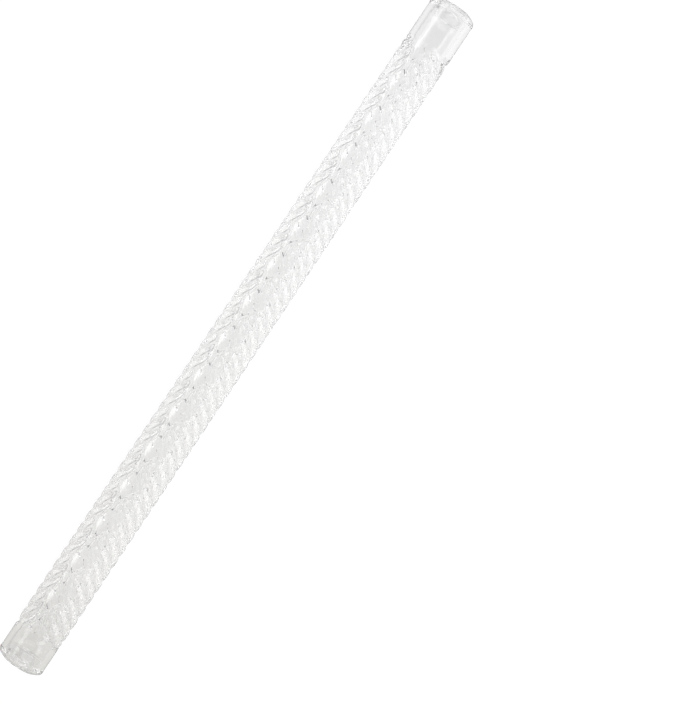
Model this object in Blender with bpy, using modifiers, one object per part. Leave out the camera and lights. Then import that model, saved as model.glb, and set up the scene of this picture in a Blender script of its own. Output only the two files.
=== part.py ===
"""Clear acrylic rolling pin with a rope relief: a moulded hollow roller tube and two push-in end plugs.

The pin lies along X. Lengths are in metres. Everything hangs from one empty whose local Z is the pin's axis,
and whose origin is the middle of the tube. Arc lengths round the pin start at the strip that faces up.
"""
import math

import bmesh
import bpy

# Roller tube
tube_length = 0.3264
smooth_diameter = 0.0212
tube_wall = 0.0026
rim_chamfer = 0.0003

# Relief: two rope columns of opposite lay, with a smooth strip between them at the front and at the back
long_plain_end = 0.0178
short_plain_end = 0.0114
bar_rise = 0.0003
groove_depth = 0.0008
groove_width = 0.0019
strip_wide = 0.0104
strip_neck = 0.0018
lobe_count = 16
bars_per_lobe = 3
bar_width_share = 0.58
stroke_angle = math.radians(38)
arch_skew = 1.0
arch_fullness = 0.85

# End plugs
head_overhang = 0.0001
head_side_height = 0.0004
head_edge_radius = 0.0020
crown_height = 0.0020
crown_flat_diameter = 0.0080
shoulder_angle = math.radians(55)
face_wall = 0.0022
skirt_length = 0.0040
skirt_wall = 0.0012
skirt_chamfer = 0.0004

# Fits
slide_clearance = 0.0003
seat_gap = 0.0003
buried_overlap = 0.0006
cut_overrun = 0.0010

# Facets
round_sides = 48
bar_segments = 7
arc_segments = 3
merge_distance = 0.00001
FLOOR, BAR, STRIP = range(3)

smooth_radius = smooth_diameter / 2
relief_radius = smooth_radius + bar_rise
floor_radius = smooth_radius - groove_depth
bore_radius = smooth_radius - tube_wall
head_radius = smooth_radius + head_overhang
strip_radius = smooth_radius * math.cos(math.pi / round_sides) - merge_distance
half_round = math.pi * smooth_radius
pattern_top = tube_length / 2 - long_plain_end
pattern_low = short_plain_end - tube_length / 2
lobe_pitch = (pattern_top - pattern_low) / lobe_count
bar_pitch = lobe_pitch / bars_per_lobe
stroke_rise = math.tan(stroke_angle)


def clear_scene():
    """Remove the objects that the scene holds before the pin is made."""
    for old in list(bpy.data.objects):
        bpy.data.objects.remove(old, do_unlink=True)


def new_collection(name):
    """Return a new collection linked to the scene."""
    made = bpy.data.collections.new(name)
    bpy.context.scene.collection.children.link(made)
    return made


def clear_acrylic(name, tint):
    """Return the material of one clear acrylic piece."""
    material = bpy.data.materials.new(name)
    material.use_nodes = True
    shader = material.node_tree.nodes["Principled BSDF"]
    shader.inputs["Base Color"].default_value = tint
    shader.inputs["Roughness"].default_value = 0.08
    shader.inputs["Metallic"].default_value = 0.0
    shader.inputs["IOR"].default_value = 1.49
    shader.inputs["Transmission Weight"].default_value = 0.85
    return material


def new_object(name, mesh, group, axis):
    """Put a mesh into a collection as an object that hangs from the pin's axis."""
    made = bpy.data.objects.new(name, mesh)
    made.parent = axis
    group.objects.link(made)
    return made


def as_guide(made):
    """Keep a guide out of the finished model."""
    made.hide_render = True
    made.display_type = "WIRE"
    return made


def turned(name, profile, group, axis):
    """Turn a profile of radius and height points, listed from the top down the outer side, about the axis."""
    mesh = bpy.data.meshes.new(name)
    half_facet = math.pi / round_sides
    points = [(radius * math.cos(half_facet), radius * math.sin(half_facet), height) for radius, height in profile]
    mesh.from_pydata(points, [(index, index + 1) for index in range(len(points) - 1)], [])
    made = new_object(name, mesh, group, axis)
    screw = made.modifiers.new("turn", "SCREW")
    screw.steps = round_sides
    screw.render_steps = round_sides
    screw.use_merge_vertices = True
    screw.merge_threshold = merge_distance
    return made


def arch(phase):
    """Height of a lobe's rounded end, from 0 to 1, at a phase from 0 to 1 past its first notch."""
    return math.sin(math.pi * phase ** arch_skew) ** arch_fullness


def strip_half_width(height, front):
    """Half width of a smooth strip. The front strip's arches start at their upper notch, the back's below."""
    lobes = (pattern_top - height if front else height - pattern_low) / lobe_pitch
    return (strip_wide - (strip_wide - strip_neck) * arch(lobes % 1)) / 2


def wrapped(arc, height, radius):
    """Point at an arc length round the smooth surface, a height along the axis and a radius."""
    angle = arc / smooth_radius
    return (-radius * math.cos(angle), -radius * math.sin(angle), height)


def stroke_reach(crest, front, margin):
    """Arc length at which a stroke line comes within a margin of the front or the back strip's edge."""
    middle = 0 if front else half_round
    outside = middle
    inside = half_round / 2
    while abs(inside - outside) > merge_distance:
        arc = (inside + outside) / 2
        if abs(arc - middle) > strip_half_width(crest - stroke_rise * arc, front) + margin:
            inside = arc
        else:
            outside = arc
    return inside


def stroke_ring(crest):
    """Points of a ring that follows a stroke line down both columns, from the front strip to the back strip."""
    front_edge = stroke_reach(crest, True, 0)
    back_edge = stroke_reach(crest, False, 0)
    start = stroke_reach(crest, True, groove_width)
    stop = stroke_reach(crest, False, groove_width)
    arcs = [0, front_edge / 2, front_edge]
    arcs += [start + (stop - start) * step / bar_segments for step in range(bar_segments + 1)]
    arcs += [back_edge, (back_edge + half_round) / 2, half_round]
    arcs += [-arc for arc in reversed(arcs[1:-1])]
    return [wrapped(arc, crest - stroke_rise * abs(arc), floor_radius) for arc in arcs]


def cell_label(column, columns, in_bar):
    """Label of a cell of the skin: strip beside the front or back middle, bar between the grooves, or floor."""
    across = min(column, columns - 1 - column)
    back = columns // 2 - 1 - across
    if min(across, back) < 2:
        return STRIP
    if in_bar and min(across, back) > 2:
        return BAR
    return FLOOR


def relief_skin(shape):
    """Add an open skin at the groove floor, whose rings are the edges of the bars, with its cells labelled."""
    spare_bars = math.ceil(stroke_rise * half_round / bar_pitch) + 1
    rings = []
    for index in range(-1, lobe_count * bars_per_lobe + spare_bars):
        for edge_share in (-0.5, 0.5):
            crest = pattern_low + (index + 0.5 + edge_share * bar_width_share) * bar_pitch
            rings.append([shape.verts.new(point) for point in stroke_ring(crest)])
    columns = len(rings[0])
    for number, (low, high) in enumerate(zip(rings, rings[1:])):
        for column in range(columns):
            after = (column + 1) % columns
            face = shape.faces.new((low[column], low[after], high[after], high[column]))
            face.material_index = cell_label(column, columns, number % 2 == 0)


def split_at(shape, height, direction):
    """Split the skin at a height, and remove what lies past it in a direction, if one is given."""
    everything = shape.verts[:] + shape.edges[:] + shape.faces[:]
    bmesh.ops.bisect_plane(shape, geom=everything, dist=merge_distance / 10, plane_co=(0, 0, height),
                           plane_no=(0, 0, direction or 1), clear_outer=direction != 0)


def raise_cells(shape, label, radius):
    """Raise the cells of one label from the groove floor to a radius."""
    cells = [face for face in shape.faces if face.material_index == label]
    grown = bmesh.ops.extrude_face_region(shape, geom=cells)
    for item in grown["geom"]:
        if isinstance(item, bmesh.types.BMVert):
            item.co.xy *= radius / floor_radius
    bmesh.ops.delete(shape, geom=cells, context="FACES")


def relief_core(group, axis):
    """Make the solid rod that carries the relief, as a guide, with its ends inside the plain ends."""
    shape = bmesh.new()
    relief_skin(shape)
    split_at(shape, pattern_top + buried_overlap, 1)
    split_at(shape, pattern_low - buried_overlap, -1)
    split_at(shape, pattern_top - groove_width, 0)
    split_at(shape, pattern_low + groove_width, 0)
    for face in shape.faces:
        height = face.calc_center_median().z
        if min(height - pattern_low, pattern_top - height) < groove_width and face.material_index == BAR:
            face.material_index = FLOOR
    raise_cells(shape, BAR, relief_radius)
    raise_cells(shape, STRIP, strip_radius)
    bmesh.ops.holes_fill(shape, edges=shape.edges[:])
    bmesh.ops.recalc_face_normals(shape, faces=shape.faces[:])
    bmesh.ops.triangulate(shape, faces=shape.faces[:])
    for face in shape.faces:
        face.material_index = 0
    mesh = bpy.data.meshes.new("relief_core_guide")
    shape.to_mesh(mesh)
    shape.free()
    return as_guide(new_object("relief_core_guide", mesh, group, axis))


def bore_cutter(group, axis):
    """Make the cylinder that bores the roller through."""
    shape = bmesh.new()
    bmesh.ops.create_cone(shape, cap_ends=True, segments=round_sides, radius1=bore_radius,
                          radius2=bore_radius, depth=tube_length + 2 * cut_overrun)
    mesh = bpy.data.meshes.new("bore_cutter")
    shape.to_mesh(mesh)
    shape.free()
    return as_guide(new_object("bore_cutter", mesh, group, axis))


def roller_profile():
    """Outside of the roller: two plain ends with chamfered rims, and a thin core where the relief lies."""
    rim_radius = smooth_radius - rim_chamfer
    core_radius = floor_radius - 2 * buried_overlap
    half_length = tube_length / 2
    return [
        (0, half_length),
        (rim_radius, half_length),
        (smooth_radius, half_length - rim_chamfer),
        (smooth_radius, pattern_top),
        (core_radius, pattern_top),
        (core_radius, pattern_low),
        (smooth_radius, pattern_low),
        (smooth_radius, rim_chamfer - half_length),
        (rim_radius, -half_length),
        (0, -half_length),
    ]


def add_boolean(made, operation, other):
    """Join another object to a piece, or cut it away."""
    step = made.modifiers.new(other.name, "BOOLEAN")
    step.operation = operation
    step.object = other
    step.solver = "EXACT"


def roller_tube(parts, guides, axis):
    """Make the hollow roller: the plain ends joined to the relief, then bored through."""
    made = turned("roller_tube", roller_profile(), parts, axis)
    add_boolean(made, "UNION", relief_core(guides, axis))
    add_boolean(made, "DIFFERENCE", bore_cutter(guides, axis))
    made.data.materials.append(clear_acrylic("roller_acrylic", (0.93, 0.94, 0.94, 1)))
    return made


def crown_points():
    """Outer face of a plug's head: a flat disc, a gentle crown and a rounded edge, from the middle outwards."""
    top = head_side_height + head_edge_radius * math.sin(shoulder_angle) + crown_height
    centre = head_radius - head_edge_radius
    flat = crown_flat_diameter / 2
    shoulder = centre + head_edge_radius * math.cos(shoulder_angle)
    points = [(0, top)]
    for step in range(arc_segments):
        share = step / arc_segments
        points.append((flat + (shoulder - flat) * share, top - crown_height * share ** 2))
    for step in range(arc_segments + 1):
        angle = shoulder_angle * (1 - step / arc_segments)
        points.append((centre + head_edge_radius * math.cos(angle),
                       head_side_height + head_edge_radius * math.sin(angle)))
    return points


def plug_profile():
    """Profile of an end plug about its own axis, with its seat at height 0 and its cup open downwards."""
    crown = crown_points()
    skirt_radius = bore_radius - slide_clearance
    cup_radius = skirt_radius - skirt_wall
    cup_height = crown[0][1] - face_wall
    skirt = [
        (head_radius, 0),
        (skirt_radius, 0),
        (skirt_radius, skirt_chamfer - skirt_length),
        (skirt_radius - skirt_chamfer, -skirt_length),
        (cup_radius, -skirt_length),
        (cup_radius, cup_height),
        (0, cup_height),
    ]
    return crown + skirt


def end_plug(name, end, parts, axis):
    """Make one end plug, seated on the tube's rim at the end that the sign gives."""
    made = turned(name, plug_profile(), parts, axis)
    made.location = (0, 0, end * (tube_length / 2 + seat_gap))
    made.rotation_euler = (0 if end > 0 else math.pi, 0, 0)
    made.data.materials.append(clear_acrylic(name + "_acrylic", (0.92, 0.93, 0.93, 1)))
    return made


def pin_axis(group):
    """Make the empty that lays the pin's own Z along world X."""
    axis = bpy.data.objects.new("pin_axis", None)
    axis.rotation_euler = (0, math.pi / 2, 0)
    group.objects.link(axis)
    return axis


def main():
    """Build the rolling pin."""
    clear_scene()
    parts = new_collection("acrylic_rolling_pin")
    guides = new_collection("guides")
    axis = pin_axis(parts)
    roller_tube(parts, guides, axis)
    end_plug("long_end_plug", 1, parts, axis)
    end_plug("short_end_plug", -1, parts, axis)


main()
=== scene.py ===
import math

import bmesh
import bpy
import numpy as np
from mathutils import Matrix, Vector


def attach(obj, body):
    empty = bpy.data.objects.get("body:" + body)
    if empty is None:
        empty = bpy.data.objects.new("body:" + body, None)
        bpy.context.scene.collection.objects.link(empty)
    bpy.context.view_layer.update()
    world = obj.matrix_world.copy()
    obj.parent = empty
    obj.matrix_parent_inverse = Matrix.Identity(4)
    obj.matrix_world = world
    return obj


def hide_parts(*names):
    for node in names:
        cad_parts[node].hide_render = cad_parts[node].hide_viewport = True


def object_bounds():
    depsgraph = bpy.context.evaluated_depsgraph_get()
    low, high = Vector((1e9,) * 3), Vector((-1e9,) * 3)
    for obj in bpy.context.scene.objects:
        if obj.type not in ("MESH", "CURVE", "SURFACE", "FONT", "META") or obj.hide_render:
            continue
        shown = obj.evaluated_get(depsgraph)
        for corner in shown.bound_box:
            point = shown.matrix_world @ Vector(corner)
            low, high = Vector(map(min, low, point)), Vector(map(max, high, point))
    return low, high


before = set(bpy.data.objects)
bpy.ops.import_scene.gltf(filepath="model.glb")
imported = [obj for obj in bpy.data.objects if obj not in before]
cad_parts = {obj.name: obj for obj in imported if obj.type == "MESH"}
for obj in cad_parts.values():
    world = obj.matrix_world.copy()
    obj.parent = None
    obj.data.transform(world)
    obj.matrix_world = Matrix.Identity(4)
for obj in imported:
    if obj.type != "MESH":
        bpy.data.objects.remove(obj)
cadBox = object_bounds()
print("frame loaded")


def srgbToLinear(hexColour):
    # each channel: c / 12.92 up to 0.04045, else ((c + 0.055) / 1.055) to the power 2.4
    channels = [int(hexColour[place:place + 2], 16) / 255 for place in (1, 3, 5)]
    return tuple(c / 12.92 if c <= 0.04045 else ((c + 0.055) / 1.055) ** 2.4 for c in channels) + (1.0,)


def addNode(tree, kind, settings=None, **inputs):
    # one node with its settings; an input is named after its socket, or in0, in1, and is a value or a link
    node = tree.nodes.new(kind)
    for name, value in (settings or {}).items():
        setattr(node, name, value)
    for name, value in inputs.items():
        key = int(name[2:]) if name[2:].isdigit() else name.replace("_", " ")
        if isinstance(value, bpy.types.NodeSocket):
            tree.links.new(value, node.inputs[key])
        else:
            node.inputs[key].default_value = value
    return node


def emptyTree(owner):
    # the bare node tree of a material or the world
    owner.use_nodes = True
    owner.node_tree.nodes.clear()
    return owner.node_tree


def addObject(name, data):
    # a new object, put in the scene
    thing = bpy.data.objects.new(name, data)
    bpy.context.scene.collection.objects.link(thing)
    return thing


def smoothStep(distance, width):
    # 0 to 1 while the distance goes from minus half the width to plus half of it: 3t^2 - 2t^3
    t = np.clip(distance / width + 0.5, 0, 1)
    return t * t * (3 - 2 * t)


mergeReach = 0.000002  # points of rows pressed together at a rim or a pole lie closer than this
sliverReach = 0.0000005  # and an edge shorter than this goes


def turnedGrid(name, along, radius, angle, closedRows):
    # grid of rows round the X axis, columns joined up and rows if asked: (along, -radius sin a, radius cos a)
    points = np.stack([along, -radius * np.sin(angle), radius * np.cos(angle)], axis=-1).reshape(-1, 3)
    index = np.arange(along.size).reshape(along.shape)
    if closedRows:
        index = np.concatenate([index, index[:1]])
    after = np.roll(index, -1, axis=1)
    quads = np.stack([index[:-1], after[:-1], after[1:], index[1:]], axis=-1).reshape(-1, 4)
    mesh = bpy.data.meshes.new(name)
    mesh.vertices.add(len(points))
    mesh.vertices.foreach_set("co", points.ravel())
    mesh.loops.add(quads.size)
    mesh.loops.foreach_set("vertex_index", quads.ravel())
    mesh.polygons.add(len(quads))
    mesh.polygons.foreach_set("loop_start", np.arange(0, quads.size, 4))
    mesh.polygons.foreach_set("loop_total", np.full(len(quads), 4))
    mesh.update(calc_edges=True)
    shape = bmesh.new()
    shape.from_mesh(mesh)
    bmesh.ops.remove_doubles(shape, verts=shape.verts[:], dist=mergeReach)
    bmesh.ops.dissolve_degenerate(shape, edges=shape.edges[:], dist=sliverReach)
    bmesh.ops.recalc_face_normals(shape, faces=shape.faces[:])
    shape.to_mesh(mesh)
    shape.free()
    mesh.shade_smooth()
    return addObject(name, mesh)


# roller: a moulded tube; outside, two rope columns with a smooth strip between them, front and back

roller = {
    "length": 0.3264,
    "smoothRadius": 0.0106,
    "boreRadius": 0.0080,
    "barRadius": 0.01086,  # to the bars' crests
    "grooveDepth": 0.0008,
    "longPlainEnd": 0.0178,
    "shortPlainEnd": 0.0114,
    "rimRound": 0.0002,
    "lobes": 16,
    "barsPerLobe": 3,
    "barShare": 0.50,  # of the bars' pitch
    "strokeAngle": math.radians(38),
    "grooveWidth": 0.0019,  # between a strip and the ends of the bars
    "stripWide": 0.0104,  # at a notch between two lobes
    "stripNeck": 0.0018,
    "archFullness": 0.85,  # below 1 rounds the lobes' outline out
    "sideFlank": 0.0014,  # above about 0.0017 the mesh's rows would cross
    "endFlank": 0.0013,
    "ringFlank": 0.0017,  # at the plain ends
    "ringGroove": 0.0014,
    "ringWave": 0.0010,
    "ringWavePitch": 0.0108,
    "fineArc": 0.0075,  # how far from the middle of a strip the columns stay fine
    "fineColumns": 25,
    "coarseColumns": 21,
    "grooveRows": (0.02, 0.98),  # rows at a groove's floor and a bar's crest, in shares of the bars' pitch
    "crestRows": (0.43, 0.57),
    "flankRows": (-0.5, -0.2, 0.2, 0.5),  # rows across a bar's flank, in shares of its width
    "rimSteps": 5,
    "paleTint": "#FAFAFA",
    "deepTint": "#F6F6F6",
}
patternHigh = roller["length"] / 2 - roller["longPlainEnd"]
patternLow = roller["shortPlainEnd"] - roller["length"] / 2
lobePitch = (patternHigh - patternLow) / roller["lobes"]
barPitch = lobePitch / roller["barsPerLobe"]
halfRound = math.pi * roller["smoothRadius"]
strokeRise = math.tan(roller["strokeAngle"])
squareOn = math.cos(roller["strokeAngle"])


def stripHalf(along, front):
    # half width of a smooth strip: widest at each notch between lobes, narrowed by |sin(pi t)|^fullness
    lobes = (patternHigh - along if front else along - patternLow) / lobePitch
    arch = np.abs(np.sin(math.pi * np.mod(lobes, 1))) ** roller["archFullness"]
    return (roller["stripWide"] - (roller["stripWide"] - roller["stripNeck"]) * arch) / 2


def ropeRadius(arc, along):
    # groove floor plus the highest of three soft-edged rises: the bars, the strips and the plain ends; bars
    # repeat in along + rise x |arc|, and the pattern's end lines wave by wave x cos(2 pi |arc| / pitch)
    side = np.abs(arc)
    into = np.minimum(side - stripHalf(along, True), halfRound - side - stripHalf(along, False))
    wave = roller["ringWave"] * np.cos(2 * math.pi * side / roller["ringWavePitch"])
    toEnds = np.minimum(patternHigh - wave - along, along - wave - patternLow)
    phase = np.mod((along + strokeRise * side - patternLow) / barPitch, 1)
    fromEdge = (roller["barShare"] / 2 - np.abs(phase - 0.5)) * barPitch * squareOn
    bar = smoothStep(fromEdge, roller["sideFlank"])
    bar = bar * smoothStep(into - roller["grooveWidth"], roller["endFlank"])
    bar = bar * smoothStep(toEnds - roller["ringGroove"], roller["ringFlank"])
    smooth = np.maximum(smoothStep(-into, roller["endFlank"]), smoothStep(-toEnds, roller["ringFlank"]))
    floor = roller["smoothRadius"] - roller["grooveDepth"]
    return floor + np.maximum(smooth * roller["grooveDepth"], bar * (roller["barRadius"] - floor))


def makeRoller():
    # outer rows run along the strokes, crest = row height - rise x |arc|, and are pressed to the rims where
    # they pass them; then a quarter-round rim, the bore, and the other rim back to the first row
    fine, coarse = roller["fineColumns"], roller["coarseColumns"]
    near = np.linspace(0, roller["fineArc"], fine, endpoint=False)
    middle = np.linspace(roller["fineArc"], halfRound - roller["fineArc"], coarse, endpoint=False)
    far = halfRound - np.linspace(roller["fineArc"], 0, fine + 1)
    side = np.concatenate([near, middle, far])
    arc = np.concatenate([-side[:0:-1], side[:-1]])
    columns = len(arc)
    flank = roller["sideFlank"] / (barPitch * squareOn) * np.array(roller["flankRows"])
    share = roller["barShare"] / 2
    grooveRows = roller["grooveRows"]
    phases = np.concatenate([grooveRows[:1], 0.5 - share + flank, roller["crestRows"], 0.5 + share + flank,
                             grooveRows[1:]])
    half = roller["length"] / 2
    rim = roller["rimRound"]
    first = math.floor((-half - patternLow) / barPitch)
    last = math.ceil((half + strokeRise * halfRound - patternLow) / barPitch)
    crests = patternLow + (np.arange(first, last)[:, None] + phases[None, :]).ravel() * barPitch
    along = np.clip(crests[:, None] - strokeRise * np.abs(arc)[None, :], rim - half, half - rim)
    radius = ropeRadius(np.broadcast_to(arc, along.shape), along)
    turn = np.linspace(0, math.pi / 2, roller["rimSteps"])
    rimAlong = np.concatenate([half - rim + rim * np.sin(turn), half - rim + rim * np.cos(turn)])
    rimRadius = np.concatenate([roller["smoothRadius"] - rim + rim * np.cos(turn),
                                roller["boreRadius"] + rim - rim * np.sin(turn)])
    endAlong = np.concatenate([rimAlong, -rimAlong[::-1]])
    endRadius = np.concatenate([rimRadius, rimRadius[::-1]])
    along = np.concatenate([along, np.repeat(endAlong[:, None], columns, 1)])
    radius = np.concatenate([radius, np.repeat(endRadius[:, None], columns, 1)])
    return turnedGrid("rope_relief_roller", along, radius, arc / roller["smoothRadius"], True)


# end plugs: a crowned head on the rim, and a short cup-shaped skirt inside the bore

plug = {
    "headTop": 0.0043283,
    "headRadius": 0.01067,
    "sideHeight": 0.00069,
    "edgeRound": 0.0020,
    "crown": 0.0020,  # how far the crown falls from the flat to the shoulder
    "flatRadius": 0.0040,
    "shoulder": math.radians(55),
    "faceWall": 0.0022,
    "seatRound": 0.0001,
    "seatCut": 0.3,  # where the seat's corner is cut, in shares of its round
    "skirtRadius": 0.00797,
    "skirtLength": 0.0040,
    "skirtWall": 0.0012,
    "skirtChamfer": 0.0003,
    "cupRound": 0.0013,
    "seatGap": 0.00001,
    "columns": 144,
    "crownRows": 16,
    "shoulderRows": 12,
    "cupRows": 7,
    "paleTint": "#F8F8F8",
    "deepTint": "#F4F4F4",
}


def makePlug(name, end):
    # one profile turned about X: flat, crown h = top - crown t^2, round edge, seat, skirt, round-cornered cup
    middle = plug["headRadius"] - plug["edgeRound"]
    shoulder = middle + plug["edgeRound"] * math.cos(plug["shoulder"])
    share = np.linspace(0, 1, plug["crownRows"])
    turn = plug["shoulder"] * np.linspace(1, 0, plug["shoulderRows"])[1:]
    small = plug["seatRound"]
    cut = small * plug["seatCut"]
    chamfer = plug["skirtChamfer"]
    foot = -plug["skirtLength"]
    skirt = plug["skirtRadius"]
    cup = skirt - plug["skirtWall"]
    roof = plug["headTop"] - plug["faceWall"]
    corner = plug["cupRound"]
    quarter = np.linspace(0, math.pi / 2, plug["cupRows"])
    radius = np.concatenate([
        [0, plug["flatRadius"] / 2], plug["flatRadius"] + (shoulder - plug["flatRadius"]) * share,
        middle + plug["edgeRound"] * np.cos(turn),
        [plug["headRadius"], plug["headRadius"] - cut, plug["headRadius"] - small],
        [skirt + small, skirt, skirt, skirt - chamfer],
        [cup + small, cup], cup - corner + corner * np.cos(quarter), [cup / 2, 0]])
    height = np.concatenate([
        [plug["headTop"], plug["headTop"]], plug["headTop"] - plug["crown"] * share ** 2,
        plug["sideHeight"] + plug["edgeRound"] * np.sin(turn),
        [small, cut, 0],
        [0, -small, foot + chamfer, foot],
        [foot, foot + small], roof - corner + corner * np.sin(quarter), [roof, roof]])
    angle = np.arange(plug["columns"]) / plug["columns"] * 2 * math.pi
    along = end * (height + roller["length"] / 2 + plug["seatGap"])
    shape = (len(radius), len(angle))
    along, radius = np.broadcast_to(along[:, None], shape), np.broadcast_to(radius[:, None], shape)
    return turnedGrid(name, along, radius, angle, False)


# the tube and the plugs are one kind of plastic

acrylic = {
    "flowGap": 0.003,
    "flowLength": 0.040,
    "flowDepth": 0.000005,
    "hairGap": 0.0009,  # real hairlines lie closer; these are as coarse as they need to be to show
    "hairLength": 0.030,
    "hairDepth": 0.0000006,
    "hairTurn": 0.05,  # they run a little askew of the pin
    "hairBand": 0.05,  # how much of the noise about its middle is marked
    "dullPatch": 0.006,
    "dullStart": 0.45,
    "dullFull": 0.7,
    "crestStart": 0.01065,
    "crestFull": 0.01084,
    "crestShare": 0.5,  # how dull a bar's crest gets, of the most
    "glossy": 0.012,
    "dull": 0.05,
    "ior": 1.49,
}


def clearAcrylic(name, paleTint, deepTint):
    # PMMA, injection moulded in a polished mould: glass-like gloss, a trace of grey in the thick of it, faint
    # flow lines that make what is seen through it waver, and hairline scratches and dulled crests from use
    material = bpy.data.materials.new(name)
    tree = emptyTree(material)
    place = addNode(tree, "ShaderNodeTexCoord").outputs["Object"]
    # flow lines: noise one cell per gap across the pin and per length along it
    across, along = 1 / acrylic["flowGap"], 1 / acrylic["flowLength"]
    stretched = addNode(tree, "ShaderNodeMapping", None, Vector=place, Scale=(along, across, across))
    flow = addNode(tree, "ShaderNodeTexNoise", {"noise_dimensions": "3D"}, Vector=stretched.outputs[0],
                   Scale=1.0, Detail=2.0, Roughness=0.4)
    # hairlines: the narrow middle band of a long, fine noise, so only its level lines are marked
    across, along = 1 / acrylic["hairGap"], 1 / acrylic["hairLength"]
    stretched = addNode(tree, "ShaderNodeMapping", None, Vector=place, Scale=(along, across, across),
                        Rotation=(0.0, 0.0, acrylic["hairTurn"]))
    hair = addNode(tree, "ShaderNodeTexNoise", {"noise_dimensions": "3D"}, Vector=stretched.outputs[0],
                   Scale=1.0, Detail=1.0, Roughness=0.5)
    level = addNode(tree, "ShaderNodeMath", {"operation": "SUBTRACT"}, in0=hair.outputs[0], in1=0.5)
    level = addNode(tree, "ShaderNodeMath", {"operation": "ABSOLUTE"}, in0=level.outputs[0])
    line = addNode(tree, "ShaderNodeMapRange", {"interpolation_type": "SMOOTHSTEP"}, Value=level.outputs[0],
                   From_Min=0.0, From_Max=acrylic["hairBand"], To_Min=1.0, To_Max=0.0)
    # patches: where the hairlines gather and the gloss has gone
    patch = addNode(tree, "ShaderNodeTexNoise", {"noise_dimensions": "3D"}, Vector=place,
                    Scale=1 / acrylic["dullPatch"], Detail=3.0, Roughness=0.6)
    worn = addNode(tree, "ShaderNodeMapRange", {"interpolation_type": "SMOOTHSTEP"}, Value=patch.outputs[0],
                   From_Min=acrylic["dullStart"], From_Max=acrylic["dullFull"])
    scratch = addNode(tree, "ShaderNodeMath", {"operation": "MULTIPLY"}, in0=line.outputs[0],
                      in1=worn.outputs[0])
    # crests: distance from the pin's axis, the root of y^2 + z^2, picks the bars' tops, which touch the board
    beside = addNode(tree, "ShaderNodeVectorMath", {"operation": "MULTIPLY"}, in0=place, in1=(0.0, 1.0, 1.0))
    reach = addNode(tree, "ShaderNodeVectorMath", {"operation": "LENGTH"}, in0=beside.outputs[0])
    crest = addNode(tree, "ShaderNodeMapRange", {"interpolation_type": "SMOOTHSTEP"},
                    Value=reach.outputs["Value"], From_Min=acrylic["crestStart"],
                    From_Max=acrylic["crestFull"], To_Min=0.0, To_Max=acrylic["crestShare"])
    rubbed = addNode(tree, "ShaderNodeMath", {"operation": "MULTIPLY"}, in0=crest.outputs[0],
                     in1=patch.outputs[0])
    wear = addNode(tree, "ShaderNodeMath", {"operation": "MAXIMUM"}, in0=scratch.outputs[0],
                   in1=rubbed.outputs[0])
    rough = addNode(tree, "ShaderNodeMapRange", None, Value=wear.outputs[0], To_Min=acrylic["glossy"],
                    To_Max=acrylic["dull"])
    waver = addNode(tree, "ShaderNodeBump", None, Height=flow.outputs[0], Strength=1.0,
                    Distance=acrylic["flowDepth"])
    bump = addNode(tree, "ShaderNodeBump", {"invert": True}, Height=scratch.outputs[0], Strength=1.0,
                   Distance=acrylic["hairDepth"], Normal=waver.outputs[0])
    tint = addNode(tree, "ShaderNodeMix", {"data_type": "RGBA"}, Factor=patch.outputs[0],
                   in6=srgbToLinear(paleTint), in7=srgbToLinear(deepTint))
    shader = addNode(tree, "ShaderNodeBsdfPrincipled", None, Base_Color=tint.outputs[2], IOR=acrylic["ior"],
                     Transmission_Weight=1.0, Roughness=rough.outputs[0], Normal=bump.outputs[0])
    addNode(tree, "ShaderNodeOutputMaterial", None, Surface=shader.outputs[0])
    return material


def dress(piece, node, body, values):
    # the piece stands for a CAD node, rides on its body, and gets the acrylic in its own tints
    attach(piece, body)
    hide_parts(node)
    material = clearAcrylic(piece.name + "_acrylic", values["paleTint"], values["deepTint"])
    piece.data.materials.append(material)
    print("made", piece.name, len(piece.data.polygons), "faces")


dress(makeRoller(), "roller_tube", "roller", roller)
for name, end in (("long_end", 1), ("short_end", -1)):
    piece = makePlug(name + "_clear_plug", end)
    dress(piece, name + "_plug", name + "_plug", plug)


# studio: pale floor, soft light, and the camera at the photograph's angle

studio = {
    "photoTilt": math.radians(15),
    "pinSlope": math.radians(56.32),
    "distance": 1.35,
    "pixel": 0.000423,  # metres to a pixel of the photograph at the pin
    "photoSize": (679, 704),
    "pinMiddle": (236.6, 336.4),  # in pixels
    "floorSize": 8.0,
    "floorGap": 0.0001,
    "whiteGlow": 0.90,  # what the camera sees of the floor: this glow, and this much of the light on it
    "whiteShare": "#6F6F6F",
    "throughGlow": 1.04,  # painted glow: the floor as seen through the pin, near it and far to its sides
    "farGlow": 0.55,
    "poolNear": 0.012,
    "poolFar": 0.11,
    "mirrorGlow": 0.38,  # painted reflection: the floor's glow in the pin's gloss, and the brighter stretch beside the long end
    "mirrorBright": 1.7,
    "brightStart": 0.125,
    "brightFull": 0.152,
    "besideNear": -0.010,
    "besideFar": -0.050,
    "shadeReach": 0.165,  # painted shade: the floor's glow, seen through the pin and in its gloss, runs through these tones from the short end to the long end
    "shadeTones": ((0.02, "#E3E2DF"), (0.13, "#F4F3F1"), (0.5, "#FAFAF9"), (0.86, "#FFFFFF"), (0.96, "#F8F8F8")),
    "floorColour": "#303030",
    "horizonGlow": 0.70,
    "ceilingGlow": 0.17,
    "horizonTop": 0.15,  # sines of the heights between which the one turns to the other
    "ceilingStart": 0.75,
    "bounces": 32,
    # name, place, what it faces, size and watts
    "lamps": (
        ("window_left", (0.28, 0.745, 0.905), (0.28, 0, 0), (1.14, 0.4), 3.7),
        ("soft_low", (-1.1, -0.6, 0.8), (0, 0, 0), (1.5, 1.1), 13),
        ("soft_high", (1.1, -0.6, 0.8), (0, 0, 0), (1.5, 1.1), 15),
    ),
}


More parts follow.
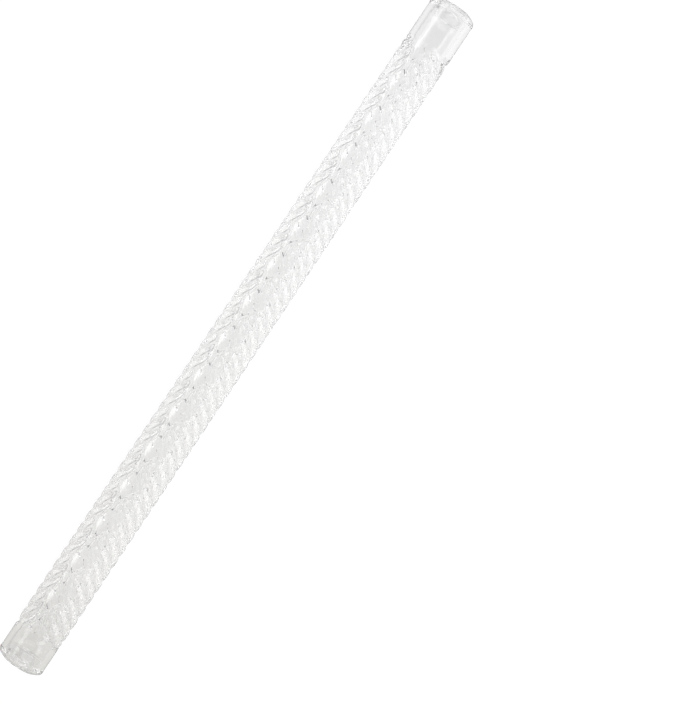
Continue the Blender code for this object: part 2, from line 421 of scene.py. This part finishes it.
def makeCamera():
    # the view leans past the vertical about the pin, and is rolled so that the pin slopes across the picture
    lean, slope = studio["photoTilt"], studio["pinSlope"]
    axis = np.array([1.0, 0.0, 0.0])
    across = np.array([0.0, -math.cos(lean), -math.sin(lean)])
    towards = np.array([0.0, -math.sin(lean), math.cos(lean)])
    right = math.cos(slope) * axis + math.sin(slope) * across
    up = math.sin(slope) * axis - math.cos(slope) * across
    wide, high = studio["photoSize"]
    pinRight, pinDown = studio["pinMiddle"]
    aim = ((wide / 2 - pinRight) * right - (high / 2 - pinDown) * up) * studio["pixel"]
    data = bpy.data.cameras.new("photo_camera")
    # the sensor's width spans the picture's longer side: lens / distance = sensor / what the side spans
    data.lens = data.sensor_width * studio["distance"] / (high * studio["pixel"])
    camera = addObject("photo_camera", data)
    camera.matrix_world = Matrix.Translation(aim + towards * studio["distance"]) @ Matrix(
        [(*row, 0) for row in zip(right, up, towards)] + [(0, 0, 0, 1)])
    bpy.context.scene.camera = camera


def makeFloor():
    # a pale sheet that takes the pin's shadow; the camera itself sees it lifted to white, as if overexposed
    low = float(cadBox[0][2])
    bpy.ops.mesh.primitive_plane_add(size=studio["floorSize"], location=(0, 0, low - studio["floorGap"]))
    floor = bpy.context.object
    floor.name = "pale_floor"
    material = bpy.data.materials.new("pale_floor")
    tree = emptyTree(material)
    path = addNode(tree, "ShaderNodeLightPath")
    place = addNode(tree, "ShaderNodeTexCoord")
    way = addNode(tree, "ShaderNodeSeparateXYZ", None, Vector=place.outputs["Object"])
    # painted pool of light: the floor as seen through the pin glows brightest under it, falling off to both
    # sides
    aside = addNode(tree, "ShaderNodeMath", {"operation": "ABSOLUTE"}, in0=way.outputs["Y"])
    pool = addNode(tree, "ShaderNodeMapRange", {"interpolation_type": "SMOOTHSTEP"}, Value=aside.outputs[0],
                   From_Min=studio["poolNear"], From_Max=studio["poolFar"], To_Min=studio["throughGlow"],
                   To_Max=studio["farGlow"])
    through = addNode(tree, "ShaderNodeMath", {"operation": "MULTIPLY"},
                      in0=path.outputs["Is Transmission Ray"], in1=pool.outputs[0])
    # painted reflection: the pin's own gloss mirrors a dimmer floor glow, which draws its edges, but a bright
    # one beside the long end
    upper = addNode(tree, "ShaderNodeMapRange", {"interpolation_type": "SMOOTHSTEP"}, Value=way.outputs["X"],
                    From_Min=studio["brightStart"], From_Max=studio["brightFull"])
    beside = addNode(tree, "ShaderNodeMapRange", None, Value=way.outputs["Y"], From_Min=studio["besideNear"],
                     From_Max=studio["besideFar"])
    bright = addNode(tree, "ShaderNodeMath", {"operation": "MULTIPLY"}, in0=upper.outputs[0],
                     in1=beside.outputs[0])
    mirror = addNode(tree, "ShaderNodeMapRange", None, Value=bright.outputs[0], To_Min=studio["mirrorGlow"],
                     To_Max=studio["mirrorBright"])
    mirrored = addNode(tree, "ShaderNodeMath", {"operation": "MULTIPLY"}, in0=path.outputs["Is Glossy Ray"],
                       in1=mirror.outputs[0])
    through = addNode(tree, "ShaderNodeMath", {"operation": "MAXIMUM"}, in0=through.outputs[0],
                      in1=mirrored.outputs[0])
    # painted shade: the floor's glow, seen through the pin and in its gloss, is a little darker and warmer
    # towards the short end
    share = addNode(tree, "ShaderNodeMapRange", None, Value=way.outputs["X"], From_Min=-studio["shadeReach"],
                    From_Max=studio["shadeReach"])
    shadeRamp = addNode(tree, "ShaderNodeValToRGB", None, Fac=share.outputs[0])
    stops = shadeRamp.color_ramp.elements
    while len(stops) < len(studio["shadeTones"]):
        stops.new(0.5)
    for stop, (position, colour) in zip(stops, studio["shadeTones"]):
        stop.position, stop.color = position, srgbToLinear(colour)
    paper = addNode(tree, "ShaderNodeBsdfDiffuse", None, Color=srgbToLinear(studio["floorColour"]))
    # painted light: this glow carries the painted pool, the painted reflection and the painted shade towards
    # the short end
    glow = addNode(tree, "ShaderNodeEmission", None, Color=shadeRamp.outputs[0], Strength=through.outputs[0])
    lit = addNode(tree, "ShaderNodeAddShader", None, in0=paper.outputs[0], in1=glow.outputs[0])
    sheet = addNode(tree, "ShaderNodeBsdfDiffuse", None, Color=srgbToLinear(studio["whiteShare"]))
    glow = addNode(tree, "ShaderNodeEmission", None, Strength=studio["whiteGlow"])
    white = addNode(tree, "ShaderNodeAddShader", None, in0=sheet.outputs[0], in1=glow.outputs[0])
    seen = addNode(tree, "ShaderNodeMixShader", None, in0=path.outputs["Is Camera Ray"], in1=lit.outputs[0],
                   in2=white.outputs[0])
    addNode(tree, "ShaderNodeOutputMaterial", None, Surface=seen.outputs[0])
    floor.data.materials.append(material)


def makeWorld():
    # pale round the horizon and dimmer overhead; the camera itself sees white
    world = bpy.data.worlds.new("studio")
    bpy.context.scene.world = world
    tree = emptyTree(world)
    path = addNode(tree, "ShaderNodeLightPath")
    place = addNode(tree, "ShaderNodeTexCoord")
    way = addNode(tree, "ShaderNodeSeparateXYZ", None, Vector=place.outputs["Generated"])
    ceiling = addNode(tree, "ShaderNodeMapRange", {"interpolation_type": "SMOOTHSTEP"},
                      Value=way.outputs["Z"], From_Min=studio["horizonTop"], From_Max=studio["ceilingStart"],
                      To_Min=studio["horizonGlow"], To_Max=studio["ceilingGlow"])
    level = addNode(tree, "ShaderNodeMath", {"operation": "MAXIMUM"}, in0=path.outputs["Is Camera Ray"],
                    in1=ceiling.outputs[0])
    glow = addNode(tree, "ShaderNodeBackground", None, Color=srgbToLinear("#FFFFFF"),
                   Strength=level.outputs[0])
    addNode(tree, "ShaderNodeOutputWorld", None, Surface=glow.outputs[0])


def makeLamps():
    # soft rectangles, each turned so that its face looks from its place to its aim
    for name, place, aim, size, power in studio["lamps"]:
        data = bpy.data.lights.new(name, "AREA")
        data.shape = "RECTANGLE"
        data.size, data.size_y = size
        data.energy = power
        lamp = addObject(name, data)
        lamp.location = place
        lamp.rotation_euler = (Vector(aim) - Vector(place)).to_track_quat("-Z", "Y").to_euler()


makeCamera()
makeFloor()
makeWorld()
makeLamps()
scene = bpy.context.scene
scene.view_settings.view_transform = "Standard"
# light is passed on many times inside a clear relief before it leaves
scene.cycles.max_bounces = studio["bounces"]
scene.cycles.glossy_bounces = studio["bounces"]
scene.cycles.transmission_bounces = studio["bounces"]
print("studio set")
